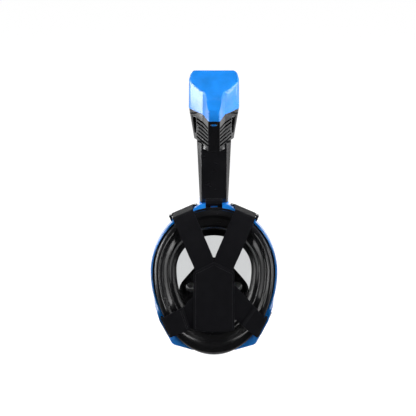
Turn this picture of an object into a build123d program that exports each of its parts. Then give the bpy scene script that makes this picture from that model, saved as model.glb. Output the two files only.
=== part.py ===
from build123d import *
import os
from math import cos, radians, sin, sqrt

# Full-face snorkel mask, in millimetres. +Z is up, -Y is forward out through the lens and +X is the
# wearer's left. The origin is the centre of the face opening, on the surface of the sealing lip.

# --- Driving dimensions -------------------------------------------------------------------------
face_radius = 200.0        # plan radius that the frame and the sealing lip wrap around
egg_z = 17.0               # height of the widest level of the mask
half_width = 93.0
rise = 95.0                # widest level to brow
drop = 122.0               # widest level to the frame's chin
lip_drop = 133.0           # same for the sealing lip, which hangs below the frame

frame_front = -34.0        # places along Y at x = 0 of the stacked layers
bead_front = -17.0
bead_rear = -13.0
frame_rear = -10.0
lip_front = -9.7
chin_front = -46.0         # flat front of the chin housing
chin_round = 7.0
rebate_inset = 3.0         # insets from the frame's outline
clamp_inset = 14.0
neck_inset = 18.0
lip_inset = 5.0
eye_inset = 38.0
eye_lowering = 8.0         # the eye opening's top edge lies this much lower than its inset alone gives
pocket_rear = -15.2        # rear surface of the pocket's rim
pocket_lip = 0.93          # size of the hole in that rim, as a share of the rim's outline

lens_y = -14.0             # centre of the lens dome
lens_width = 84.0
lens_depth = 62.0
lens_rise = 87.0
lens_drop = 113.0
lens_wall = 3.0

purge_z = -58.0
purge_tube_r = 15.0
purge_flange_r = 18.8
boss_r = 23.5
boss_front = -70.0

strap_width = 32.0
strap_t = 1.6
pin_r = 1.1
loop_r = 1.35              # inside of a strap's end loop
upper_angle = 66.7         # direction from the mask's middle to each strap's end, from +X
lower_angle = -25.9
upper_shift = 1.4          # each strap's centre line, across that direction
lower_shift = 28.3
panel_y = 23.0             # middle of the head panel's thickness
panel_half = 30.0
notch_z = 105.3            # floor of the brow notch that shows the snorkel's catch
clip_ajar = 20.0           # the right lower clip stands open by this angle
upper_pin_at = (-37.5, 110.0)   # (Y, outward) place of each strap's pin
lower_pin_at = (-20.5, 91.8)

lean = 12.0                # the snorkel leans back
snorkel_foot = (0, -40, 99)
collar_top = 19.0          # heights along the snorkel from its foot
tube_top = 112.0
plate_z = 146.0            # underside of the dry top's valve plate
seam_height = 158.0        # seam of the cap at the front corners
cap_height = 212.0         # cap's front edge
seam_slope = 0.17
cap_slope = 0.60
wall = 2.0

float_x = 19.0
float_y = -7.0
float_r = 6.6
float_bottom = 116.0
float_length = 16.0

inlet_x = 34.0
inlet_z = -10.0
inlet_r = 8.5

duct_end_x = 26.0          # where the side ducts meet the manifold
exhaust_y = -25.3
exhaust_z = 84.0

screw_angles = [20, 50, 130, 160, 205, 235, 305, 335]

REACH = 150.0              # half depth of construction prisms

parts = {}


# --- Shared outlines and layers -----------------------------------------------------------------
def egg(inset, low=drop, high=rise):
    """The mask's outline in the XZ plane, moved in by inset."""
    upper = EllipticalCenterArc((0, egg_z), half_width - inset, high - inset, start_angle=0, arc_size=180)
    lower = EllipticalCenterArc((0, egg_z), half_width - inset, low - inset, start_angle=180, arc_size=180)
    return make_face([upper, lower])


def prism(outline):
    """An XZ outline run through the mask along Y."""
    return extrude(Plane.XZ * outline, amount=REACH, both=True)


def behind(y):
    """Everything rearward of the face cylinder that crosses x = 0 at y."""
    return Pos(0, face_radius, 0) * Cylinder(face_radius - y, 400)


def layer(outer, inner, front, rear):
    """A ring of the mask between two outlines and two face cylinders."""
    slab = behind(front) - behind(rear)
    return (prism(outer) - prism(inner)) & slab


def block(low, high):
    """A box from its lowest to its highest corner."""
    size = [h - l for l, h in zip(low, high)]
    middle = [(h + l) / 2 for l, h in zip(low, high)]
    return Pos(*middle) * Box(*size)


def rod(x, z, radius, y_front, y_rear):
    """A cylinder along Y."""
    length = y_rear - y_front
    return Pos(x, (y_front + y_rear) / 2, z) * Rot(90, 0, 0) * Cylinder(radius, length)


def dome(width, depth, up, down):
    """An ellipsoid whose upper and lower halves differ in height, about the lens centre."""
    upper_half = Sphere(1, arc_size1=0, arc_size2=90, align=(Align.CENTER, Align.CENTER, Align.MIN))
    lower_half = Sphere(1, arc_size1=-90, arc_size2=0, align=(Align.CENTER, Align.CENTER, Align.MAX))
    top = scale(upper_half, by=(width, depth, up))
    bottom = scale(lower_half, by=(width, depth, down))
    return Pos(0, lens_y, egg_z) * (top + bottom)


def mirrored(part):
    return mirror(part, Plane.YZ)


def add(name, part):
    parts[name] = part


def add_pair(name, part):
    add(f"{name}_left", part)
    add(f"{name}_right", mirrored(part))


# --- Frames of reference for the straps and the snorkel -----------------------------------------
def strap_frame(angle, shift):
    """Local x is +Y, local y points outward at the strap's end, local z runs across its width."""
    outward = Vector(cos(radians(angle)), 0, sin(radians(angle)))
    across = Vector(outward.Z, 0, -outward.X)
    return Plane(origin=across * shift, x_dir=(0, 1, 0), z_dir=across)


upper_frame = strap_frame(upper_angle, upper_shift)
lower_frame = strap_frame(lower_angle, lower_shift)
snorkel = Plane(origin=snorkel_foot, x_dir=(1, 0, 0),
                z_dir=(0, sin(radians(lean)), cos(radians(lean))))


def local_block(frame, low, high):
    return frame * block(low, high)


lens_outer = dome(lens_width, lens_depth, lens_rise, lens_drop)
lens_inner = dome(lens_width - lens_wall, lens_depth - lens_wall, lens_rise - lens_wall,
                  lens_drop - lens_wall)

# --- Snorkel sections ---------------------------------------------------------------------------
def tube_section(height, half, flat, depth, corner=2.5):
    """Chamfered section of the snorkel: a flat rear face, bevelled sides and a rounder front."""
    points = [(flat, depth), (half, depth - 6), (half, 8 - depth), (half - 8, -depth),
              (8 - half, -depth), (-half, 8 - depth), (-half, depth - 6), (-flat, depth)]
    return Pos(0, 0, height) * make_face(FilletPolyline(*points, radius=corner, close=True))


def dry_section(height, wide, knee, apex, nose, radii=(3, 5, 8, 7)):
    """Three-cornered section of the dry top; knee is (x, y) of the crease in each rear wall."""
    shoulder = nose + 0.3 * (apex - nose)
    right = [(8.5, apex), knee, (wide, shoulder), (wide - 4, nose)]
    left = [(-x, y) for x, y in reversed(right)]
    corners = list(radii) + list(reversed(radii))
    return Pos(0, 0, height) * make_face(FilletPolyline(*right, *left, radius=corners, close=True))


def below(height, slope, pivot):
    """The half space under a plane that falls towards the rear of the snorkel."""
    tilt = Plane(origin=(0, pivot, height), x_dir=(1, 0, 0), z_dir=(0, slope, 1))
    return tilt * Pos(0, 0, -200) * Box(400, 400, 400)


# --- Mask frame ---------------------------------------------------------------------------------
def chin_outline():
    """Lower outline of the blue housing: full flanks, a corner each side and a shallow chin."""
    side = [(0, -106.5), (32, -103.5), (61, -94), (80, -58), (86.5, -36), (88.5, -18)]
    left = [(-x, z) for x, z in reversed(side[1:])]
    top = 10
    return make_face(FilletPolyline(*side, (60, top), (-60, top), *left, radius=10, close=True))


def strap_pockets():
    """Clip window, strap slot and pin holes in the left flank."""
    half = strap_width / 2
    window = local_block(lower_frame, (-42, 88.4, -half - 3.2), (-12, 110, half + 3.2))
    slot = local_block(lower_frame, (-15, 90.4, -half - 0.8), (30, 93.6, half + 0.8))
    return window + slot


def pin(frame, at, half_length, radius=pin_r):
    return frame * Pos(at[0], at[1], 0) * Cylinder(radius, 2 * half_length)


def collar_envelope():
    """Outside of the collar, run down over the top of the lens."""
    flare = loft([tube_section(6, 22.2, 19, 17.2), tube_section(collar_top, 21.5, 18.5, 17.2)])
    root = extrude(tube_section(-26, 22.2, 19, 17.2), amount=32)
    return snorkel * (flare + root)


def brow_shoulder():
    """Sloping shoulders that carry the frame's rim up to the collar."""
    side = [(21, 113.6), (30, 107.2), (30, 100)]
    slope = Polyline(*side, *[(-x, z) for x, z in reversed(side)], close=True)
    shape = prism(make_face(slope)) & block((-40, -23.5, 90), (40, 20, 120))
    return shape - behind(frame_rear) - (prism(egg(rebate_inset)) & behind(bead_front)) - lens_outer


collar_body = collar_envelope()
pockets = strap_pockets()
both_pockets = pockets + mirrored(pockets)
upper_pin = pin(upper_frame, upper_pin_at, 21.5)
lower_pin = pin(lower_frame, lower_pin_at, 22.5)
pins = [upper_pin, mirrored(upper_pin), lower_pin, mirrored(lower_pin)]


def screw_place(angle):
    """A point on the line of screws, inside the frame's outline."""
    height = rise if angle < 180 else drop
    x = (half_width - 6) * cos(radians(angle))
    z = egg_z + (height - 6) * sin(radians(angle))
    y = face_radius - sqrt((face_radius - frame_rear) ** 2 - x * x)
    return x, y, z


def screw(angle):
    x, y, z = screw_place(angle)
    head = rod(x, z, 1.9, y - 2.0, y - 0.6)
    shank = rod(x, z, 0.9, y - 13, y - 1.9)
    return head + shank


def screw_holes(radius, depth):
    holes = [rod(*screw_place(a)[::2], radius, screw_place(a)[1] - depth, screw_place(a)[1] + 4)
             for a in screw_angles]
    return Part() + holes


def make_front_frame():
    ring = (prism(egg(0)) - lens_outer) & (behind(frame_front) - behind(frame_rear))
    ring -= prism(egg(rebate_inset)) & behind(bead_front)
    ring += brow_shoulder()
    ring -= collar_body
    ring -= local_block(snorkel, (-12.6, 17.2, 3), (12.6, 20.4, 30))
    ring -= block((-12.6, -22, notch_z), (12.6, 0, 130))
    ring -= both_pockets
    ring -= screw_holes(0.9, 13)
    for each in pins:
        ring -= each
    return ring


def make_upper_bracket():
    """Cheeks that carry the upper pin, joined by a bridge on the frame's front face."""
    bracket = local_block(upper_frame, (-36.4, 102.5, -22.5), (-26, 106.2, 22.5))
    for low in (-22.5, 19.3):
        cheek = block((-41.5, 101, low), (-24, 113, low + 3.2))
        bracket += upper_frame * fillet(cheek.edges().filter_by(Axis.Z).sort_by(Axis.X)[:2], 2.2)
    bracket -= (prism(egg(0)) & behind(frame_front)) + lens_outer + collar_body
    return bracket - upper_pin


def make_chin_housing():
    body = prism(chin_outline()) & block((-120, chin_front, -130), (120, 60, -18))
    front_edges = body.faces().sort_by(Axis.Y)[0].edges().sort_by(Axis.Z)[:-1]
    body = fillet(front_edges, chin_round)
    body -= behind(frame_rear)
    body -= prism(egg(0)) & behind(frame_front)
    body -= lens_outer
    body += rod(0, purge_z, boss_r, boss_front, chin_front + 1)
    body -= rod(0, purge_z, purge_flange_r + 0.05, -80, -60)
    body -= rod(0, purge_z, purge_tube_r, -62, -30)
    body -= both_pockets
    for each in pins[2:]:
        body -= each
    return body


def make_lens():
    shell = lens_outer - lens_inner
    shell -= behind(bead_front)
    shell -= rod(0, purge_z, boss_r, -90, -30)
    shell -= snorkel * extrude(tube_section(-2, 18.9, 16, 14.4), amount=40)
    return shell


# --- Soft parts inside the mask -----------------------------------------------------------------
def make_inner_frame():
    ring = layer(egg(rebate_inset), egg(clamp_inset), bead_rear, frame_rear)
    ring -= both_pockets
    for angle in screw_angles:
        x, y, z = screw_place(angle)
        ring -= rod(x, z, 0.9, y - 6, y + 4)
        ring -= rod(x, z, 1.9, y - 2.0, y + 4)
    return ring


def make_screws():
    return Part() + [screw(angle) for angle in screw_angles]


def make_skirt():
    bead = layer(egg(rebate_inset), egg(neck_inset), bead_front, bead_rear)
    neck = layer(egg(clamp_inset), egg(neck_inset), bead_rear, lip_front)
    lip = layer(egg(lip_inset, lip_drop), egg(neck_inset), lip_front, 0)
    floor = layer(egg(neck_inset - 3), egg(eye_inset, high=rise - eye_lowering), -18.5, -15)
    skirt = bead + neck + lip + floor
    skirt -= screw_holes(0.9, 13)
    return skirt - both_pockets


def pocket_outline(centre_z, size):
    """Rounded outline of the nose and mouth pocket, shrunk about the given height."""
    side = [(70, -100), (70, -27), (15, 33)]
    house = make_face(Polyline(*side, *[(-x, z) for x, z in reversed(side)], close=True))
    outline = (egg(eye_inset + 0.3) & house).face()
    middle = Pos(0, -centre_z)
    return Pos(0, centre_z) * scale(middle * outline, by=size)


def pocket_cup(inset, front, rear):
    """The pocket's tapered body between two places along Y."""
    mouth = Plane.XZ.offset(-rear) * pocket_outline(-18, 1 - inset / 50)
    snout = Plane.XZ.offset(-front) * (Pos(0, -37) * pocket_outline(-18, 0.42 - inset / 50))
    return loft([mouth, snout])


def make_pocket():
    cup = pocket_cup(0, -44, -6) - pocket_cup(wall, -44 + wall, -5)
    cup -= behind(pocket_rear - 1)
    cup += layer(pocket_outline(-18, 1), pocket_outline(-18, pocket_lip), pocket_rear - 2, pocket_rear)
    for x in (inlet_x, -inlet_x):
        cup -= rod(x, inlet_z, inlet_r, -60, 20)
    return cup - rod(0, purge_z, purge_tube_r, -60, -30)


# --- Valves -------------------------------------------------------------------------------------
def valve_seat(x, z, radius, front, rear, face):
    """A short tube with a hub on three spokes, level with its front end or its rear end."""
    seat = rod(x, z, radius, front, rear) - rod(x, z, radius - 1.4, front - 1, rear + 1)
    hub = rod(x, z, 2.6, face, face + 2)
    spoke = Pos(radius / 2, 0, 0) * Box(radius - 1, 2, 1.6)
    spokes = Part() + [Pos(x, face + 1, z) * Rot(0, turn, 0) * spoke for turn in (90, 210, 330)]
    seat += hub + spokes
    return seat - rod(x, z, 1.05, face - 1, face + 3)


def valve_disc(x, z, radius, face, side):
    """A thin flap with a stem through the seat's hub; side is the way it lifts along Y."""
    near, far = sorted((face + 0.3 * side, face + 1.3 * side))
    stem_near, stem_far = sorted((face + 1.0 * side, face - 4.5 * side))
    return rod(x, z, radius, near, far) + rod(x, z, 1.0, stem_near, stem_far)


def make_purge_seat():
    seat = rod(0, purge_z, purge_flange_r, -63, -60) + rod(0, purge_z, purge_tube_r, -60, -40)
    seat -= rod(0, purge_z, purge_tube_r - 1.6, -64, -39)
    ring = rod(0, purge_z, 2.8, -63, -61)
    for turn in (90, 210, 330):
        ring += Pos(0, -62, purge_z) * Rot(0, turn, 0) * Pos(7.5, 0, 0) * Box(13, 2, 1.8)
    return seat + ring - rod(0, purge_z, 1.05, -64, -60)


def make_purge_cover():
    front = boss_front - 3
    cover = rod(0, purge_z, boss_r, front, boss_front)
    spigot = rod(0, purge_z, purge_flange_r, boss_front, boss_front + 1.4)
    cover += spigot - rod(0, purge_z, purge_flange_r - 1.8, boss_front, boss_front + 2)
    cover = fillet(cover.edges().filter_by(GeomType.CIRCLE).sort_by(Axis.Y)[0], 1.2)
    for turn in range(0, 360, 30):
        cover -= Pos(0, front + 1.5, purge_z) * Rot(0, turn, 0) * Pos(11, 0, 0) * Box(11, 4, 2.4)
    return cover


# --- Air ducts ----------------------------------------------------------------------------------
def duct_ring(inner_wall):
    """The ring that both side ducts and the manifold are cut from."""
    return layer(egg(16 + inner_wall), egg(34 - inner_wall), -34 + inner_wall, -20 - inner_wall)


def make_duct():
    region = block((duct_end_x, -60, -25), (90, 60, 120))
    room = block((duct_end_x + wall, -60, -25 + wall), (90, 60, 120))
    duct = (duct_ring(0) & region) - (duct_ring(wall) & room)
    port = Pos(duct_end_x, exhaust_y, exhaust_z) * Rot(0, 90, 0) * Cylinder(3.5, 8)
    inlet = Pos(45, -25, -16) * Rot(0, 90, 0) * Cylinder(3.5, 16)
    return duct - port - inlet


def make_exhaust_disc():
    return Pos(duct_end_x - 0.8, exhaust_y, exhaust_z) * Rot(0, 90, 0) * Cylinder(4.3, 1.0)


def make_manifold():
    region = block((0.2 - duct_end_x, -60, 40), (duct_end_x - 0.2, 60, 120))
    shell = (duct_ring(0) - duct_ring(wall)) & region
    return shell - local_block(snorkel, (-16, -11, -14), (16, 11, 20))


# --- Strap and its clips ------------------------------------------------------------------------
def band(frame, points, bends, width):
    """A flat strap that follows points in its own frame."""
    route = FilletPolyline(*points, radius=bends)
    return frame * extrude(trace(route, strap_t), amount=width / 2, both=True)


def end_loop(frame, at, width):
    outer = Cylinder(loop_r + strap_t, width)
    return frame * Pos(at[0], at[1], 0) * (outer - Cylinder(loop_r, width))


def head_panel():
    side = [(panel_half, -68), (panel_half, 18), (0, 33)]
    outline = Polyline(*side, (-panel_half, 18), (-panel_half, -68), close=True)
    thickness = block((-60, panel_y - strap_t / 2, -90), (60, panel_y + strap_t / 2, 60))
    return prism(make_face(outline)) & thickness


def strap(frame, at, route):
    """One strap: end loop, then its route over the rim and down to the head panel."""
    body = band(frame, [(at[0], at[1] + loop_r + strap_t / 2)] + route, 2, strap_width)
    body += end_loop(frame, at, strap_width)
    body -= pin(frame, at, 30, loop_r)
    return body - block((-200, -100, -68), (panel_half, 60, 18)) - block((-200, -100, -120), (0, 60, 130))


def make_upper_strap():
    top = upper_pin_at[1] + loop_r + strap_t / 2
    body = strap(upper_frame, upper_pin_at, [(12, top), (panel_y, 66), (panel_y, 20)])
    notch = Polyline((-60, -80), (60, -80), (panel_half, 18), (0, 33), (-panel_half, 18), close=True)
    return body - prism(make_face(notch))


def make_lower_strap():
    route = [(-16, 93.4), (-10, 92.0), (17, 92.0), (panel_y, 62), (panel_y, 30)]
    return strap(lower_frame, lower_pin_at, route)


def clip(frame, at, plate, ear):
    """A lever across the strap's end, on two ears that turn on the pin.

    plate and ear are (low Y, low outward, high Y, high outward), measured from the pin.
    """
    half = strap_width / 2 + 0.3
    ear_t = 2.4

    def slab(sides, low, high):
        near = (at[0] + sides[0], at[1] + sides[1], low)
        far = (at[0] + sides[2], at[1] + sides[3], high)
        return local_block(frame, near, far)

    lever = slab(plate, -half - ear_t, half + ear_t)
    for low in (-half - ear_t, half):
        lever += frame * Pos(at[0], at[1], low + ear_t / 2) * Cylinder(3.0, ear_t)
        lever += slab(ear, low, low + ear_t)
    return lever - pin(frame, at, 30, pin_r + 0.05)


def make_upper_clip():
    return clip(upper_frame, upper_pin_at, (-5.6, -12, -3.4, 3.0), (-4, -3, 0, 3))


def make_lower_clip():
    return clip(lower_frame, lower_pin_at, (-20, 0.5, -3.4, 2.7), (-4, 0, 0, 2.7))


def ajar(lever):
    """The lower clip swung out about its pin by the angle that it stands open at rest."""
    hinge = lower_frame * Pos(*lower_pin_at, 0)
    return hinge * Rot(0, 0, -clip_ajar) * hinge.inverse() * lever


# --- Snorkel ------------------------------------------------------------------------------------
def make_collar():
    socket = extrude(tube_section(0, 18.9, 16, 14.4), amount=30)
    body = collar_body - lens_outer - snorkel * socket
    body -= behind(bead_front)
    body -= local_block(snorkel, (-16, -11, -40), (16, 11, 10))
    catch = local_block(snorkel, (-4.8, 16, 10.8), (4.8, 17.3, 14.8))
    return body + catch


def make_tube():
    foot = collar_top + 0.3
    outer = loft([tube_section(foot, 21, 18.5, 16), tube_section(tube_top, 25, 18.5, 18)])
    outer += extrude(tube_section(0, 18, 15.5, 13.6), amount=foot)
    bore = loft([tube_section(foot, 21 - wall, 17, 16 - wall),
                 tube_section(tube_top, 25 - wall, 17, 18 - wall)])
    bore += extrude(tube_section(-1, 16.2, 14, 11.8, 2), amount=foot + 1)
    for x in (-9, 9):
        bore -= block((x - 0.7, -20, -2), (x + 0.7, 20, 120))
    tongue = block((-12, 14.2, foot), (12, 19.7, 26))
    tongue = chamfer(tongue.edges().filter_by(Axis.X).sort_by(Axis.Z)[-2:].sort_by(Axis.Y)[-1], 1.5)
    tongue += block((-12, 17.5, 8.6), (12, 18.6, foot + 1)) - block((-5.2, 17, 10.4), (5.2, 21, 15.2))
    groove = extrude(tube_section(7, 18.5, 16, 14.1), amount=3)
    groove -= extrude(tube_section(7, 17.2, 14.7, 12.8), amount=3)
    return snorkel * (outer + tongue - bore - groove)


def make_base_seal():
    ring = extrude(tube_section(7.2, 18.7, 16, 14.2), amount=2.6)
    return snorkel * (ring - extrude(tube_section(7, 17.2, 14.7, 12.8), amount=4))


def dry_body(inset):
    """Tapered body of the dry top, from the tube to above the cap's seam."""
    low = dry_section(90, 26 - inset, (17.5 - inset, 18 - inset), 20.5 - inset, inset - 19.5,
                      (2, 2, 5, 5))
    high = dry_section(160, 37.8 - inset, (15.8 - 0.6 * inset, 12 - 0.8 * inset), 36 - inset,
                       inset - 26.6)
    return loft([low, high], ruled=True)


def make_housing():
    shell = dry_body(0) - (dry_body(wall) - block((-60, -60, 0), (60, 60, 114)))
    shell &= below(seam_height, seam_slope, -8)
    shell -= below(tube_top, 0.45, 0) & below(tube_top, 0, 0)
    shell -= loft([tube_section(80, 24.3, 18.5, 17.6), tube_section(tube_top, 25, 18.5, 18)])
    shell -= block((-9, -9, 100), (9, 9, 130))
    for row in range(6):
        slot = louvre(145.5 - 5.6 * row)
        shell -= slot + mirrored(slot)
    for side in (-1, 1):
        shell -= block((min(side * 26, side * 50), -4, 122), (max(side * 26, side * 50), 2, 148))
        shell -= Pos(side * 30, 20, 152.4) * Rot(0, side * 22, 0) * Box(12, 60, 2)
    shell -= block((-5, 25, 143.2), (5, 50, 146.2))
    return snorkel * shell


def louvre(height):
    """One bent grille slot in the rear left wall."""
    line = Polyline((25.5, height), (15.5, height - 3.6), (8.6, height - 6.8))
    slot = extrude(Plane.XZ * trace(line, 2.9), amount=-60)
    return Pos(0, -2, 0) * slot


def cap_body(inset):
    """Slightly tapered body of the cap."""
    low = dry_section(140, 38 - inset, (15.8 - 0.6 * inset, 13 - 0.8 * inset), 34.5 - inset,
                      inset - 26.6)
    high = dry_section(216, 37.2 - inset, (15.8 - 0.6 * inset, 10.5 - 0.8 * inset), 33 - inset,
                       inset - 25.5)
    return loft([low, high], ruled=True)


def make_cap():
    outer = cap_body(0)
    outer -= below(seam_height + 0.1, seam_slope, -8)
    outer &= below(cap_height - 26 * cap_slope, cap_slope, 0)
    outer &= below(cap_height - 50 * cap_slope, 1.6, 24)
    rim = outer.faces().sort_by(Axis.Z)[-1].edges()
    outer = chamfer(rim, 2.0)
    inner = cap_body(wall) & below(cap_height - 26 * cap_slope - 3, cap_slope, 0)
    inner &= below(cap_height - 50 * cap_slope - 3, 1.6, 24)
    tab = block((-4, 29.3, 143.8), (4, 30.9, 153)) + block((-4, 29.3, 143.8), (4, 32.7, 145.6))
    tab += block((-4, 29.3, 151.4), (4, 33.6, 153))
    return snorkel * (outer - inner + tab)


def make_valve_plate():
    plate = dry_body(wall + 0.1) & block((-60, -60, plate_z), (60, 28.8, plate_z + 2.5))
    riser = block((-9, -9, 112.2), (9, 9, plate_z + 0.1)) - block((-7, -7, 100), (7, 7, 160))
    plate -= block((-7, -7, 100), (7, 7, 160))
    for side in (-1, 1):
        plate -= Pos(side * float_x, float_y, plate_z) * Cylinder(4.8, 12)
    return snorkel * (plate + riser)


def make_float():
    return snorkel * Pos(float_x, float_y, float_bottom + float_length / 2) * Cylinder(float_r, float_length)


def make_float_seal():
    top = float_bottom + float_length
    return snorkel * Pos(float_x, float_y, top + 1) * Cylinder(float_r - 0.6, 2)


# --- Assembly -----------------------------------------------------------------------------------
add("lens", make_lens())
add("front_frame", make_front_frame())
add("chin_housing", make_chin_housing())
add("inner_frame", make_inner_frame())
add("frame_screws", make_screws())
add("face_skirt", make_skirt())
add("oronasal_pocket", make_pocket())
add_pair("inlet_valve_seat", valve_seat(inlet_x, inlet_z, inlet_r, -40, -12, -40))
add_pair("inlet_valve_disc", valve_disc(inlet_x, inlet_z, inlet_r - 1.8, -38, 1))
add("purge_valve_seat", make_purge_seat())
add("purge_valve_disc", valve_disc(0, purge_z, purge_tube_r, -63, -1))
add("purge_cover", make_purge_cover())
add_pair("exhaust_duct", make_duct())
add_pair("exhaust_valve_disc", make_exhaust_disc())
add("air_manifold", make_manifold())
add("strap_pins", Part() + pins)
add("head_strap_panel", head_panel())
add_pair("upper_strap", make_upper_strap())
add_pair("lower_strap", make_lower_strap())
add_pair("upper_bracket", make_upper_bracket())
add_pair("upper_clip", make_upper_clip())
add("lower_clip_left", make_lower_clip())
add("lower_clip_right", mirrored(ajar(make_lower_clip())))
add("snorkel_collar", make_collar())
add("snorkel_tube", make_tube())
add("base_seal", make_base_seal())
add("dry_top_housing", make_housing())
add("dry_top_cap", make_cap())
add("valve_plate", make_valve_plate())
add_pair("float", make_float())
add_pair("float_seal", make_float_seal())

os.makedirs("parts", exist_ok=True)
for name, part in parts.items():
    export_step(part, f"parts/{name}.step")
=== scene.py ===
import math

import bmesh
import bpy
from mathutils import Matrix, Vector


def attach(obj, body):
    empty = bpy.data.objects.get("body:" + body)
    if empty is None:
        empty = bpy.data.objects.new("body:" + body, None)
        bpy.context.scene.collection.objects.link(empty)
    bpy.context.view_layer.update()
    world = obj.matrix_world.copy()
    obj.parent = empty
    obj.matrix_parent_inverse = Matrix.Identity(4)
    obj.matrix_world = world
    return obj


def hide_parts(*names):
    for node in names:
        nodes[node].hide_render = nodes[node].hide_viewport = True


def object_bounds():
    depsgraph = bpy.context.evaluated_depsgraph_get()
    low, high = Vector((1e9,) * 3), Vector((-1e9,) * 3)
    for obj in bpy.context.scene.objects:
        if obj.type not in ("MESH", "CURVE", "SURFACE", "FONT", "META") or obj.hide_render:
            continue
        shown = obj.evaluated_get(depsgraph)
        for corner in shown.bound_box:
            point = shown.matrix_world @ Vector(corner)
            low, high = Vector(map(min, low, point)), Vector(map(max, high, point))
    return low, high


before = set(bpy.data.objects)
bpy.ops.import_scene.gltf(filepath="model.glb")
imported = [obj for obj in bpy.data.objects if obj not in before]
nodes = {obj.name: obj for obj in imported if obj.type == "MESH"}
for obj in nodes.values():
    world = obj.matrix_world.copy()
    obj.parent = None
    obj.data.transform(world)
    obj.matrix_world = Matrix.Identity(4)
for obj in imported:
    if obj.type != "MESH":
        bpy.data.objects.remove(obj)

# Looks of a full-face snorkel mask, in metres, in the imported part's frame: +Z up, -Y forward out
# through the lens, +X the wearer's left. The origin is the centre of the face opening.

cad_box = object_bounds()

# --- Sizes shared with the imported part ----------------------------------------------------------
FACE_RADIUS = 0.200        # plan radius that the frame and skirt wrap around
EGG_Z = 0.017              # height of the widest level
HALF_WIDTH = 0.093
RISE = 0.095
DROP = 0.122
LIP_DROP = 0.133
LIP_INSET = 0.005
NECK_INSET = 0.018
EYE_LOWERING = 0.008       # the eye opening's top edge lies this much lower than its inset alone gives

STRAP_T = 0.0018
STRAP_HALF = 0.016
LOOP_R = 0.00215           # middle of the strap's thickness where it goes round a pin
PANEL_Y = 0.023
PANEL_HALF = 0.030
PANEL_TOP = 0.033          # point of the panel's top edge, between the two upper straps
PANEL_CORNER = 0.018
PANEL_LOW = -0.068
PANEL_SAG = 0.003          # the panel's lower edge hangs this much lower at its middle
PANEL_T = 0.0022
PANEL_CROWN = 0.0012       # the panel's middle stands this much further back than its sides
UPPER_PIN = (-0.0375, 0.110)    # (Y, outward) place of each strap's pin
LOWER_PIN = (-0.0205, 0.0918)
UPPER_ANGLE, UPPER_SHIFT = 66.7, 0.0014
LOWER_ANGLE, LOWER_SHIFT = -25.9, 0.0283
STRAP_BEND = 0.0042        # radius where a strap turns down behind the rim

EYE_INSET = 0.037          # the eye opening's edge, inside the outline
POCKET_Z = -0.018          # height about which the pocket's outline shrinks towards its front
POCKET_RIM = -0.0168       # depth of the rim on the face cylinders
POCKET_FRONT = -0.044
POCKET_WALL = 0.0018
POCKET_TAPER = 0.58        # share of its reach that the pocket loses from rim to front
POCKET_FALL = 0.037        # the front lies this much lower than the rim
POCKET_TOP = 0.051         # flat top edge and sloped shoulders, measured from POCKET_Z
POCKET_SHOULDER = 0.0455
BELLOWS, BELLOWS_HEIGHT = 8, 0.0009
INLET_PORT = (0.034, -0.010, 0.0084)    # (x, z, radius) of the bores in the pocket
PURGE_PORT = (0, -0.058, 0.0149)


# --- Mesh helpers -------------------------------------------------------------------------------
def mesh_piece(name, points, faces, material, uv=None):
    """A smooth-shaded mesh; uv gives one pair for each point."""
    mesh = bpy.data.meshes.new(name)
    mesh.from_pydata([tuple(p) for p in points], [], faces)
    mesh.validate()
    mesh.polygons.foreach_set("use_smooth", [True] * len(mesh.polygons))
    if uv:
        layer = mesh.uv_layers.new(name="UVMap")
        for loop in mesh.loops:
            layer.data[loop.index].uv = uv[loop.vertex_index]
    mesh.materials.append(material)
    piece = bpy.data.objects.new(name, mesh)
    bpy.context.scene.collection.objects.link(piece)
    return piece


def grid_faces(rows, columns, closed=False):
    """Quads between rows of points; closed joins the last row to the first and the last column too."""
    faces = []
    for i in range(rows if closed else rows - 1):
        for j in range(columns if closed else columns - 1):
            below, right = (i + 1) % rows, (j + 1) % columns
            faces.append((i * columns + j, i * columns + right, below * columns + right, below * columns + j))
    return faces


def between(first, last, start, end, now):
    """The point on the line from first at start to last at end."""
    return ((end - now) * first + (now - start) * last) / (end - start)


def spline(points, steps):
    """Points along a smooth curve through the given ones, however unevenly they are spaced."""
    ends = [2 * points[0] - points[1]] + points + [2 * points[-1] - points[-2]]
    out = []
    for four in zip(ends, ends[1:], ends[2:], ends[3:]):
        times = [0.0]
        for near, far in zip(four, four[1:]):
            times.append(times[-1] + math.sqrt(max((far - near).length, 1e-9)))
        for k in range(steps):
            now = times[1] + (times[2] - times[1]) * k / steps
            legs = [between(four[i], four[i + 1], times[i], times[i + 1], now) for i in range(3)]
            arcs = [between(legs[i], legs[i + 1], times[i], times[i + 2], now) for i in range(2)]
            out.append(between(*arcs, times[1], times[2], now))
    return out + [points[-1]]


def mapped(value, low, high):
    """Where value lies between low and high, held to 0 and 1."""
    return min(max((value - low) / (high - low), 0.0), 1.0)


# --- Materials ----------------------------------------------------------------------------------
def link(tree, source, target):
    tree.links.new(source, target)


def new_material(name, colour, roughness, **sockets):
    """A Principled material; sockets are set by name, with _ for a space."""
    material = bpy.data.materials.new(name)
    material.use_nodes = True
    surface = material.node_tree.nodes["Principled BSDF"]
    surface.inputs["Base Color"].default_value = (*colour, 1)
    surface.inputs["Roughness"].default_value = roughness
    for socket, value in sockets.items():
        surface.inputs[socket.replace("_", " ")].default_value = value
    return material


def noise(tree, scale, detail=3.0, stretch=None, coordinates="Object"):
    """A noise texture on the piece's own coordinates."""
    texture = tree.nodes.new("ShaderNodeTexNoise")
    texture.inputs["Scale"].default_value = scale
    texture.inputs["Detail"].default_value = detail
    place = tree.nodes.new("ShaderNodeTexCoord")
    source = place.outputs[coordinates]
    if stretch:
        shape = tree.nodes.new("ShaderNodeMapping")
        shape.inputs["Scale"].default_value = stretch
        link(tree, source, shape.inputs["Vector"])
        source = shape.outputs["Vector"]
    link(tree, source, texture.inputs["Vector"])
    return texture.outputs["Fac"]


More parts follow.
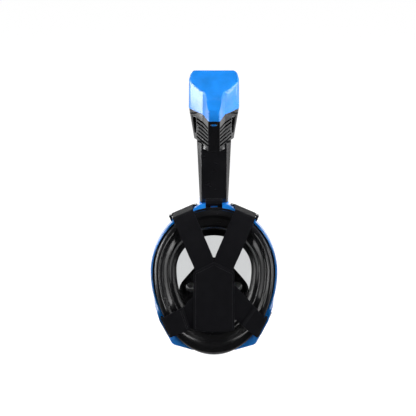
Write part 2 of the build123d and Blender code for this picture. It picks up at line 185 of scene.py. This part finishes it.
def ranged(tree, value, low, high, start=0.3, end=0.7):
    """A value mapped from start-end to low-high."""
    node = tree.nodes.new("ShaderNodeMapRange")
    for socket, number in zip(("From Min", "From Max", "To Min", "To Max"), (start, end, low, high)):
        node.inputs[socket].default_value = number
    link(tree, value, node.inputs["Value"])
    return node.outputs["Result"]


def tone(tree, value, dark, light):
    """A colour between dark and light."""
    mix = tree.nodes.new("ShaderNodeMix")
    mix.data_type = "RGBA"
    mix.inputs["A"].default_value = (*dark, 1)
    mix.inputs["B"].default_value = (*light, 1)
    link(tree, value, mix.inputs["Factor"])
    return mix.outputs["Result"]


def relief(tree, height, distance, strength=1.0, under=None):
    """A bump node, laid over another one."""
    bump = tree.nodes.new("ShaderNodeBump")
    bump.inputs["Distance"].default_value = distance
    bump.inputs["Strength"].default_value = strength
    link(tree, height, bump.inputs["Height"])
    if under:
        link(tree, under, bump.inputs["Normal"])
    return bump.outputs["Normal"]


def moulded(name, colour, roughness, grain, edge_wear_and_highlight=0.25, uneven=0.3, **sockets):
    """Moulded plastic or rubber: uneven tone and gloss, fine grain, faint surface waviness, and pale edges
    that are a painted edge highlight, patchy like wear.
    """
    material = new_material(name, colour, roughness, **sockets)
    tree = material.node_tree
    surface = tree.nodes["Principled BSDF"]
    dark = [c * 0.82 for c in colour]
    light = [min(c * 1.12 + 0.002, 1) for c in colour]
    body = tone(tree, ranged(tree, noise(tree, 45), 0, 1), dark, light)
    # Painted edge highlight: sharp edges, found with a bevel normal, are lightened 35% towards white, broken
    # up by noise like wear.
    edge = tree.nodes.new("ShaderNodeBevel")
    edge.samples = 4
    edge.inputs["Radius"].default_value = 0.0007
    flat = tree.nodes.new("ShaderNodeNewGeometry")
    bend = tree.nodes.new("ShaderNodeVectorMath")
    bend.operation = "DOT_PRODUCT"
    link(tree, edge.outputs["Normal"], bend.inputs[0])
    link(tree, flat.outputs["Normal"], bend.inputs[1])
    wear_and_highlight_mask = tree.nodes.new("ShaderNodeMath")
    wear_and_highlight_mask.operation = "MULTIPLY"
    link(tree, ranged(tree, bend.outputs["Value"], edge_wear_and_highlight, 0, 0.80, 0.99), wear_and_highlight_mask.inputs[0])
    link(tree, ranged(tree, noise(tree, 260), 0, 1), wear_and_highlight_mask.inputs[1])
    wear_and_highlight_tone = tree.nodes.new("ShaderNodeMix")
    wear_and_highlight_tone.data_type = "RGBA"
    wear_and_highlight_tone.inputs["B"].default_value = (*[c + 0.35 * (1 - c) for c in colour], 1)
    link(tree, body, wear_and_highlight_tone.inputs["A"])
    link(tree, wear_and_highlight_mask.outputs["Value"], wear_and_highlight_tone.inputs["Factor"])
    link(tree, wear_and_highlight_tone.outputs["Result"], surface.inputs["Base Color"])
    marks = noise(tree, 60, 6, stretch=(1, 1, 3))
    gloss = ranged(tree, marks, roughness * (1 - uneven), roughness * (1 + uneven))
    link(tree, gloss, surface.inputs["Roughness"])
    wave = relief(tree, noise(tree, 35, 1), 0.00012, 0.5)
    link(tree, relief(tree, noise(tree, grain, 2), 0.000006, 0.6, wave), surface.inputs["Normal"])
    return material


def webbing(name, colour):
    """Black elastic webbing: crossed ribs about a millimetre apart, fuzz and a soft sheen."""
    material = new_material(name, colour, 0.82, Specular_IOR_Level=0.10, Sheen_Weight=0.01,
                            Sheen_Roughness=0.45)
    tree = material.node_tree
    surface = tree.nodes["Principled BSDF"]
    place = tree.nodes.new("ShaderNodeTexCoord")
    ribs = []
    for direction, scale in (("X", 210), ("Y", 300)):
        rib = tree.nodes.new("ShaderNodeTexWave")
        rib.bands_direction = direction
        rib.inputs["Scale"].default_value = scale
        rib.inputs["Distortion"].default_value = 0.4
        link(tree, place.outputs["UV"], rib.inputs["Vector"])
        ribs.append(rib.outputs["Fac"])
    weave = tree.nodes.new("ShaderNodeMath")
    weave.operation = "MULTIPLY"
    link(tree, ribs[0], weave.inputs[0])
    link(tree, ribs[1], weave.inputs[1])
    thread = [c * 1.9 for c in colour]
    gap = [c * 0.45 for c in colour]
    link(tree, tone(tree, weave.outputs["Value"], gap, thread), surface.inputs["Base Color"])
    fuzz = relief(tree, noise(tree, 2400, 4), 0.00008, 0.7)
    link(tree, relief(tree, weave.outputs["Value"], 0.00022, 0.9, fuzz), surface.inputs["Normal"])
    link(tree, ranged(tree, noise(tree, 70), 0.74, 0.92), surface.inputs["Roughness"])
    return material


def clear_plastic(name):
    """Clear polycarbonate with faint smears."""
    material = new_material(name, (0.56, 0.57, 0.575), 0.02, Transmission_Weight=1.0, IOR=1.49)
    tree = material.node_tree
    surface = tree.nodes["Principled BSDF"]
    link(tree, ranged(tree, noise(tree, 28, 5), 0.008, 0.06), surface.inputs["Roughness"])
    link(tree, relief(tree, noise(tree, 16, 1), 0.00008, 0.25), surface.inputs["Normal"])
    return material


BLUE = (0.010, 0.225, 0.760)
BLACK = (0.0050, 0.0050, 0.0065)

blue_plastic = moulded("blue_plastic", BLUE, 0.20, 1500, Coat_Weight=0.35, Coat_Roughness=0.08)
black_plastic = moulded("black_plastic", BLACK, 0.22, 1300, Coat_Weight=0.25, Coat_Roughness=0.1)
grey_plastic = moulded("grey_plastic", (0.16, 0.165, 0.17), 0.38, 1600)
black_silicone = moulded("black_silicone", (0.006, 0.006, 0.007), 0.26, 2200, edge_wear_and_highlight=0.03, uneven=0.06)
valve_silicone = moulded("valve_silicone", (0.55, 0.56, 0.56), 0.30, 1800, edge_wear_and_highlight=0.05,
                         Transmission_Weight=0.25)
steel = moulded("steel", (0.58, 0.58, 0.60), 0.24, 1500, edge_wear_and_highlight=0.1, Metallic=1.0)
strap_webbing = webbing("strap_webbing", (0.0055, 0.0055, 0.0072))
thread = moulded("thread", (0.016, 0.016, 0.019), 0.6, 4000, edge_wear_and_highlight=0.0)
clear_lens = clear_plastic("clear_lens")
slots = {"blue_plastic": blue_plastic, "black_plastic": black_plastic, "grey_plastic": grey_plastic,
         "black_silicone": black_silicone, "valve_silicone": valve_silicone, "steel": steel,
         "strap_webbing": strap_webbing, "clear_lens": clear_lens}

# --- Hard parts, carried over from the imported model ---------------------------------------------
EDGE = {"front_frame": 0.0007, "chin_housing": 0.0009, "snorkel_tube": 0.0006, "dry_top_cap": 0.0012,
        "dry_top_housing": 0.0005, "snorkel_collar": 0.0009, "purge_cover": 0.0005,
        "upper_clip_left": 0.0006, "upper_clip_right": 0.0006, "lower_clip_left": 0.0006,
        "lower_clip_right": 0.0006}
SMALL_EDGE = 0.0003


def slot_of(node):
    """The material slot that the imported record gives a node."""
    for material in nodes[node].data.materials:
        for slot in slots:
            if material and material.name.split(".")[0] == slot:
                return slot
    return "black_plastic"


def soften(piece, width):
    """Rounded edges and even shading on a hard part."""
    weld = piece.modifiers.new("Weld", "WELD")
    weld.merge_threshold = 0.000002
    bevel = piece.modifiers.new("Bevel", "BEVEL")
    bevel.width = width
    bevel.segments = 3
    bevel.limit_method = "ANGLE"
    bevel.angle_limit = math.radians(38)
    bevel.miter_outer = "MITER_ARC"
    even = piece.modifiers.new("WeightedNormal", "WEIGHTED_NORMAL")
    even.keep_sharp = False
    even.weight = 60


def dress_hard_parts():
    """Every carried-over part gets its material, and the hard ones rounded edges."""
    for name, node in nodes.items():
        slot = slot_of(name)
        for index in range(len(node.data.materials)):
            node.data.materials[index] = slots[slot]
        if slot in ("blue_plastic", "black_plastic", "grey_plastic", "steel"):
            soften(node, EDGE.get(name, SMALL_EDGE))


# --- Face skirt ---------------------------------------------------------------------------------
def face_point(turn, inset, depth, low=DROP, high=RISE):
    """A point on the mask's outline moved in by inset, on the face cylinder through depth."""
    height = high if math.sin(turn) > 0 else low
    x = (HALF_WIDTH - inset) * math.cos(turn)
    z = EGG_Z + (height - inset) * math.sin(turn)
    return Vector((x, FACE_RADIUS - math.sqrt((FACE_RADIUS - depth) ** 2 - x * x), z))


# Section of the skirt from its outer edge over the sealing lip to the eye opening and back through
# the bead, as (inset, depth) in millimetres.
SKIRT_SECTION = [(14.5, -9.7), (10, -9.2), (6.4, -8.4), (5.2, -6.8), (5.4, -5.2), (6.6, -3.2), (8.4, -1.4),
                 (10.6, -0.3), (12.4, 0), (14.4, -0.8), (16.4, -2.6), (17.8, -3.5), (20.4, -3.9),
                 (24.0, -4.3), (26.6, -5.2), (28.2, -7.8), (29.6, -10.8), (31.4, -12.6), (33.6, -13.8),
                 (35.6, -15.2), (37.4, -16.6), (38.0, -17.6), (37.4, -18.6), (34, -18.9), (27, -18.6),
                 (20, -18.2), (17.5, -16.6), (10, -16.8), (4.4, -16.8), (3.4, -15.0), (4.4, -13.2),
                 (10, -13.2), (15.2, -12.8), (15.4, -11.2)]


def make_skirt():
    """Face skirt with its sealing lip, swept round the mask."""
    stations = 144
    points = []
    for inset, depth in SKIRT_SECTION:
        share = mapped(inset, NECK_INSET * 1000, LIP_INSET * 1000) if depth > -12 else 0
        low = DROP + (LIP_DROP - DROP) * share
        high = RISE - EYE_LOWERING * mapped(inset, 19, 37)
        points += [face_point(2 * math.pi * k / stations, inset / 1000, depth / 1000, low, high)
                   for k in range(stations)]
    skirt = mesh_piece("skirt", points, grid_faces(len(SKIRT_SECTION), stations, closed=True), black_silicone)
    smooth = skirt.modifiers.new("Subdivision", "SUBSURF")
    smooth.levels = smooth.render_levels = 2
    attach(skirt, "mask")
    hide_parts("face_skirt")
    return skirt


# --- Nose and mouth pocket ----------------------------------------------------------------------
SHOULDER_NORMAL = Vector((60, 55)).normalized()


def pocket_reach(turn):
    """Distance from the pocket's middle to its outline: the mask's own egg under a roof with two slopes."""
    way = Vector((abs(math.cos(turn)), math.sin(turn)))
    low, high = 0.0, 0.2
    for _ in range(30):
        middle = (low + high) / 2
        x, z = way.x * middle, POCKET_Z + way.y * middle
        height = (RISE - EYE_LOWERING if z > EGG_Z else DROP) - EYE_INSET
        inside = (x / (HALF_WIDTH - EYE_INSET)) ** 2 + ((z - EGG_Z) / height) ** 2 < 1
        low, high = (middle, high) if inside else (low, middle)
    limits = [low]
    slope = SHOULDER_NORMAL.dot(way)
    if slope > 0:
        limits.append(POCKET_SHOULDER / slope)
    if way.y > 0:
        limits.append(POCKET_TOP / way.y)
    return sum(limit ** -12 for limit in limits) ** (-1 / 12)


def pocket_point(turn, share, inset):
    """A point of the cup; share runs from the rim, 0, to the front, 1."""
    reach = pocket_reach(turn) * (1 - POCKET_TAPER * share) - inset
    x = reach * math.cos(turn)
    z = POCKET_Z - POCKET_FALL * share + reach * math.sin(turn)
    rim = FACE_RADIUS - math.sqrt((FACE_RADIUS - POCKET_RIM) ** 2 - x * x)
    return Vector((x, rim + (POCKET_FRONT - rim) * share, z))


def make_pocket():
    """Thin soft cup with bellows round its flanks, so that it follows the nose and cheeks."""
    stations, steps = 160, 44
    outer = []
    for step in range(steps + 1):
        share = step / steps
        ridge = math.sin(2 * math.pi * share * BELLOWS) ** 3
        ridge *= BELLOWS_HEIGHT * mapped(share, 0.05, 0.12) * mapped(share, 0.62, 0.5)
        outer.append((share, -ridge))
    inner = [(share - 0.002, inset + POCKET_WALL) for share, inset in reversed(outer)]
    bead = [(-0.010, 0.0024), (-0.022, 0.0016), (-0.022, 0.0006), (-0.010, 0.0)]
    walk = outer + inner + bead
    points = []
    for share, inset in walk:
        points += [pocket_point(2 * math.pi * k / stations, share, inset) for k in range(stations)]
    front = steps
    faces = []
    for row in range(len(walk)):
        if row == front:
            continue
        below = (row + 1) % len(walk)
        faces += [(row * stations + k, row * stations + (k + 1) % stations,
                   below * stations + (k + 1) % stations, below * stations + k) for k in range(stations)]
    faces.append([front * stations + k for k in range(stations)])
    faces.append([(front + 1) * stations + k for k in reversed(range(stations))])
    pocket = mesh_piece("nose_pocket", points, faces, black_silicone)
    x, z, radius = INLET_PORT
    cut_round_holes(pocket, [INLET_PORT, (-x, z, radius), PURGE_PORT])
    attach(pocket, "mask")
    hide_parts("oronasal_pocket")
    return pocket


def cut_round_holes(piece, holes):
    """Bores through a piece along Y; each hole is (x, z, radius)."""
    build = bmesh.new()
    for x, z, radius in holes:
        made = bmesh.ops.create_cone(build, cap_ends=True, segments=48, radius1=radius, radius2=radius,
                                     depth=0.2)
        for vertex in made["verts"]:
            vertex.co = Vector((x + vertex.co.x, vertex.co.z, z + vertex.co.y))
    bmesh.ops.recalc_face_normals(build, faces=build.faces)
    mesh = bpy.data.meshes.new("bores")
    build.to_mesh(mesh)
    build.free()
    bores = bpy.data.objects.new("bores", mesh)
    bpy.context.scene.collection.objects.link(bores)
    cut = piece.modifiers.new("Boolean", "BOOLEAN")
    cut.operation = "DIFFERENCE"
    cut.solver = "EXACT"
    cut.object = bores
    graph = bpy.context.evaluated_depsgraph_get()
    result = bpy.data.meshes.new_from_object(piece.evaluated_get(graph))
    piece.modifiers.remove(cut)
    piece.data = result
    bpy.data.objects.remove(bores)


# --- Head straps --------------------------------------------------------------------------------
class StrapFrame:
    """Places along Y, outward from the mask's middle and across the strap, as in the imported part."""

    def __init__(self, angle, shift, side):
        self.outward = Vector((side * math.cos(math.radians(angle)), 0, math.sin(math.radians(angle))))
        self.across = Vector((side * self.outward.z, 0, -abs(self.outward.x)))
        self.middle = self.across * shift

    def at(self, place, width=0.0):
        y, outward = place
        return self.middle + self.outward * outward + self.across * width + Vector((0, y, 0))

    def pair(self, place):
        """The two edges of the strap at a place."""
        return self.at(place, -STRAP_HALF), self.at(place, STRAP_HALF)


def bend(centre, radius, start, end, count):
    """(Y, outward) places round an arc, with angles in degrees from +Y towards outward."""
    turns = [math.radians(start + (end - start) * k / (count - 1)) for k in range(count)]
    return [(centre[0] + radius * math.cos(t), centre[1] + radius * math.sin(t)) for t in turns]


def thicken(piece, thickness, rounding):
    """Gives a sheet its thickness and rounds its edges by a share of that."""
    shell = piece.modifiers.new("Solidify", "SOLIDIFY")
    shell.thickness = thickness
    shell.offset = 0
    bevel = piece.modifiers.new("Bevel", "BEVEL")
    bevel.width = thickness * rounding
    bevel.segments = 3
    bevel.limit_method = "ANGLE"
    bevel.angle_limit = math.radians(60)


def ribbon(name, pairs, node=None):
    """A webbing strap with rounded edges, through pairs of edge points."""
    steps, columns = 5, 12
    edges = [spline([Vector(p[side]) for p in pairs], steps) for side in (0, 1)]
    points, uv, along = [], [], 0.0
    for row, (a, b) in enumerate(zip(*edges)):
        if row:
            along += ((a + b) / 2 - (edges[0][row - 1] + edges[1][row - 1]) / 2).length
        width = (b - a).length
        for k in range(columns + 1):
            share = k / columns
            points.append(a.lerp(b, share))
            uv.append((share * width, along))
    strap = mesh_piece(name, points, grid_faces(len(edges[0]), columns + 1), strap_webbing, uv)
    thicken(strap, STRAP_T, 0.32)
    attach(strap, "mask")
    if node:
        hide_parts(node)
    return strap


def stitch_rows(name, rows, pitch=0.0023, radius=0.00026):
    """Small thread stitches along straight rows, each row a (start, end) pair of surface points."""
    build = bmesh.new()
    for start, end in rows:
        way = end - start
        count = max(int(way.length / pitch), 1)
        for k in range(count):
            middle = start + way * ((k + 0.5) / count)
            turn = way.to_track_quat("X", "Z").to_matrix().to_4x4()
            made = bmesh.ops.create_icosphere(build, subdivisions=1, radius=radius)
            for vertex in made["verts"]:
                vertex.co.x *= 0.40 * way.length / count / radius
                vertex.co = turn @ vertex.co + middle
    mesh = bpy.data.meshes.new(name)
    build.to_mesh(mesh)
    build.free()
    mesh.polygons.foreach_set("use_smooth", [True] * len(mesh.polygons))
    mesh.materials.append(thread)
    piece = bpy.data.objects.new(name, mesh)
    bpy.context.scene.collection.objects.link(piece)
    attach(piece, "mask")
    return piece


def make_panel():
    """Head panel: two stitched layers of webbing, slightly crowned, cut to a point at the top."""
    columns, rows = 24, 36
    points, uv = [], []
    for row in range(rows + 1):
        for column in range(columns + 1):
            x = PANEL_HALF * (2 * column / columns - 1)
            top = panel_top(x)
            low = PANEL_LOW - PANEL_SAG * (1 - (x / PANEL_HALF) ** 2)
            z = low + (top - low) * row / rows
            points.append((x, panel_surface(x), z))
            uv.append((x, z))
    panel = mesh_piece("head_panel", points, grid_faces(rows + 1, columns + 1), strap_webbing, uv)
    thicken(panel, PANEL_T, 0.3)
    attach(panel, "mask")
    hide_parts("head_strap_panel")
    return panel


def panel_top(x):
    """Height of the panel's top edge."""
    return PANEL_TOP - (PANEL_TOP - PANEL_CORNER) * abs(x) / PANEL_HALF


def panel_surface(x):
    """Middle of the panel's thickness along Y."""
    return PANEL_Y + PANEL_CROWN * (1 - (x / PANEL_HALF) ** 2)


def flat_pair(side, upper, lower, y):
    """Two edge points of a lower strap where it lies flat, given as (x, z) in millimetres."""
    return (Vector((side * upper[0], y, upper[1])) * 0.001, Vector((side * lower[0], y, lower[1])) * 0.001)


# Where each lower strap lies flat between the mask's flank and the panel, as upper edge, lower edge and
# Y in millimetres; the first row is the stitched end of the folded-back tail.
LEFT_FLAT = [((45.3, -34.4), (34.8, -67.0), 21.0), ((36.5, -24.5), (32.0, -66.8), 21.2),
             ((24.0, -11.0), (25.0, -65.0), 21.2)]
RIGHT_FLAT = [((58.9, -33.0), (40.0, -60.0), 21.0), ((43.5, -15.5), (34.2, -54.3), 21.2),
              ((25.0, 4.0), (26.0, -47.0), 21.2)]


def make_upper_strap(name, side):
    """The strap from its end loop over the brow and down to the panel."""
    place = StrapFrame(UPPER_ANGLE, UPPER_SHIFT, side)
    top = UPPER_PIN[1] + LOOP_R
    route = bend(UPPER_PIN, LOOP_R, 335, 90, 10)
    route += [(-0.0352, top), (-0.030, top), (-0.018, top + 0.0002), (-0.004, top + 0.0002), (0.005, top)]
    route += bend((0.0095, top - STRAP_BEND), STRAP_BEND, 84, 14, 5)
    route += [(0.0162, 0.098), (0.0186, 0.084), (0.0205, 0.068), (0.0212, 0.052)]
    pairs = [place.pair(at) for at in route]
    pairs.append(flat_pair(side, (0.7, 36.5), (29.4, 24.6), 21.2))
    pairs.append(flat_pair(side, (0.7, 27.5), (27.0, 14.0), 21.2))
    ribbon(name, pairs, name)
    half = 0.86 * STRAP_HALF
    face = top + STRAP_T / 2 + 0.0002
    rows = [(place.at((y, face), -half), place.at((y, face), half)) for y in (-0.0300, -0.0278)]
    stitch_rows(f"{name}_stitches", rows)


def make_lower_strap(name, side, flat):
    """The strap from its end loop to the panel, and the tail that is folded back over it and stitched."""
    place = StrapFrame(LOWER_ANGLE, LOWER_SHIFT, side)
    route = bend(LOWER_PIN, LOOP_R, 335, 100, 10)
    route += [(-0.0168, 0.0935), (-0.013, 0.0924), (-0.008, 0.0920), (0.003, 0.0920), (0.0115, 0.0920)]
    corner = (0.0140, 0.0878)
    route += bend(corner, STRAP_BEND, 72, 22, 4)
    pairs = [place.pair(at) for at in route] + [flat_pair(side, *row) for row in flat]
    ribbon(name, pairs, name)
    tail = [place.pair(at) for at in bend(corner, STRAP_BEND + STRAP_T, 60, 22, 4)]
    upper, lower, y = flat[0]
    seam = flat_pair(side, upper, lower, y + STRAP_T * 1000)
    tail.append(seam)
    ribbon(f"{name}_tail", tail)
    inner = tail[-2]
    lift = Vector((0, STRAP_T / 2, 0))
    rows = []
    for share in (0.09, 0.17):
        start, end = (seam[k].lerp(inner[k], share) + lift for k in (0, 1))
        rows.append((start.lerp(end, 0.06), start.lerp(end, 0.94)))
    stitch_rows(f"{name}_stitches", rows)


def make_panel_stitches():
    """Stitches down both sides of the panel and along its pointed top."""
    inset = 0.0032
    rows = []
    for x in (PANEL_HALF - inset, inset - PANEL_HALF):
        y = panel_surface(x) + PANEL_T / 2
        rows.append((Vector((x, y, PANEL_LOW + 0.002)), Vector((x, y, PANEL_CORNER - 0.003))))
    for side in (-1, 1):
        for first, last in ((0.001, 0.010), (0.010, 0.019), (0.019, PANEL_HALF - inset)):
            ends = []
            for x in (first, last):
                z = panel_top(x) - 0.0042
                ends.append(Vector((side * x, panel_surface(x) + PANEL_T / 2, z)))
            rows.append(tuple(ends))
    stitch_rows("head_panel_stitches", rows)


# --- Stage, light and camera --------------------------------------------------------------------
def area_light(name, place, target, size, power, mirrored):
    """A soft box; one that isn't mirrored lights surfaces without showing in their gloss."""
    lamp = bpy.data.lights.new(name, "AREA")
    lamp.shape = "RECTANGLE"
    lamp.size, lamp.size_y = size
    lamp.energy = power
    light = bpy.data.objects.new(name, lamp)
    bpy.context.scene.collection.objects.link(light)
    light.location = place
    light.rotation_mode = "QUATERNION"
    light.rotation_quaternion = (Vector(target) - Vector(place)).to_track_quat("-Z", "Y")
    light.visible_glossy = mirrored


def make_stage():
    """A pale sweep under and all round the object, in two halves; only the front one shows in gloss."""
    low = cad_box[0].z - 0.002
    reach, rise, curve = 6.0, 5.0, 1.5
    turns = [math.pi * k / 24 for k in range(1, 13)]
    radii = [0.001, reach - curve] + [reach - curve + curve * math.sin(t) for t in turns] + [reach]
    heights = [0.0, 0.0] + [curve - curve * math.cos(t) for t in turns] + [rise]
    around = 48
    paper = new_material("studio_paper", (0.12, 0.12, 0.12), 0.9, Emission_Strength=0.96)
    paper.node_tree.nodes["Principled BSDF"].inputs["Emission Color"].default_value = (1, 1, 1, 1)
    for name, turn in (("studio_sweep_rear", 0.0), ("studio_sweep_front", math.pi)):
        points = []
        for radius, height in zip(radii, heights):
            points += [(radius * math.cos(turn + math.pi * k / around),
                        radius * math.sin(turn + math.pi * k / around), low + height)
                       for k in range(around + 1)]
        sweep = mesh_piece(name, points, grid_faces(len(radii), around + 1), paper)
        sweep.visible_diffuse = False
        sweep.visible_glossy = turn > 0


# Name, place, target, size, watts, and whether it shows in gloss.
LIGHTS = [("key_light", (1.45, 0.16, 0.30), (0, 0, 0.12), (0.55, 1.5), 34, True),
          ("fill_light", (-1.45, 0.22, 0.25), (0, 0, 0.10), (0.30, 1.5), 9, True),
          ("right_light", (-1.5, 0.5, 0.6), (0, 0, 0.10), (0.9, 1.2), 30, False),
          ("rear_left_strip", (1.25, 1.35, 0.0), (0, 0, 0.02), (0.34, 1.5), 10, True),
          ("rear_right_strip", (-1.25, 1.35, 0.0), (0, 0, 0.02), (0.34, 1.5), 16, True),
          ("top_light", (0, 0.7, 1.7), (0, 0, 0.1), (1.2, 0.9), 14, False),
          ("front_light", (0.3, -1.6, 0.9), (0, 0, 0.05), (1.2, 1.0), 16, True)]


def make_lights():
    """A strip on each side and behind each side, soft boxes above and in front, and a faint surround."""
    for light in LIGHTS:
        area_light(*light)
    world = bpy.data.worlds.new("studio")
    world.use_nodes = True
    world.node_tree.nodes["Background"].inputs["Color"].default_value = (1, 1, 1, 1)
    world.node_tree.nodes["Background"].inputs["Strength"].default_value = 0.05
    bpy.context.scene.world = world


def make_camera():
    """Behind the mask and a little above it, level with the foot of the snorkel."""
    distance, view_width, elevation = 4.0, 0.610, math.radians(8)
    target = Vector((0.0088, 0, 0.1095))
    back = Vector((0, math.cos(elevation), math.sin(elevation)))
    lens = bpy.data.cameras.new("camera")
    lens.sensor_width = 36
    lens.lens = lens.sensor_width * distance / view_width
    camera = bpy.data.objects.new("camera", lens)
    bpy.context.scene.collection.objects.link(camera)
    camera.location = target + back * distance
    camera.rotation_mode = "QUATERNION"
    camera.rotation_quaternion = (-back).to_track_quat("-Z", "Y")
    bpy.context.scene.camera = camera


# --- Assembly -----------------------------------------------------------------------------------
dress_hard_parts()
make_skirt()
make_pocket()
make_panel()
make_panel_stitches()
for side_name, side_sign in (("left", 1), ("right", -1)):
    make_upper_strap(f"upper_strap_{side_name}", side_sign)
make_lower_strap("lower_strap_left", 1, LEFT_FLAT)
make_lower_strap("lower_strap_right", -1, RIGHT_FLAT)
make_stage()
make_lights()
make_camera()
bpy.context.scene.view_settings.view_transform = "Standard"
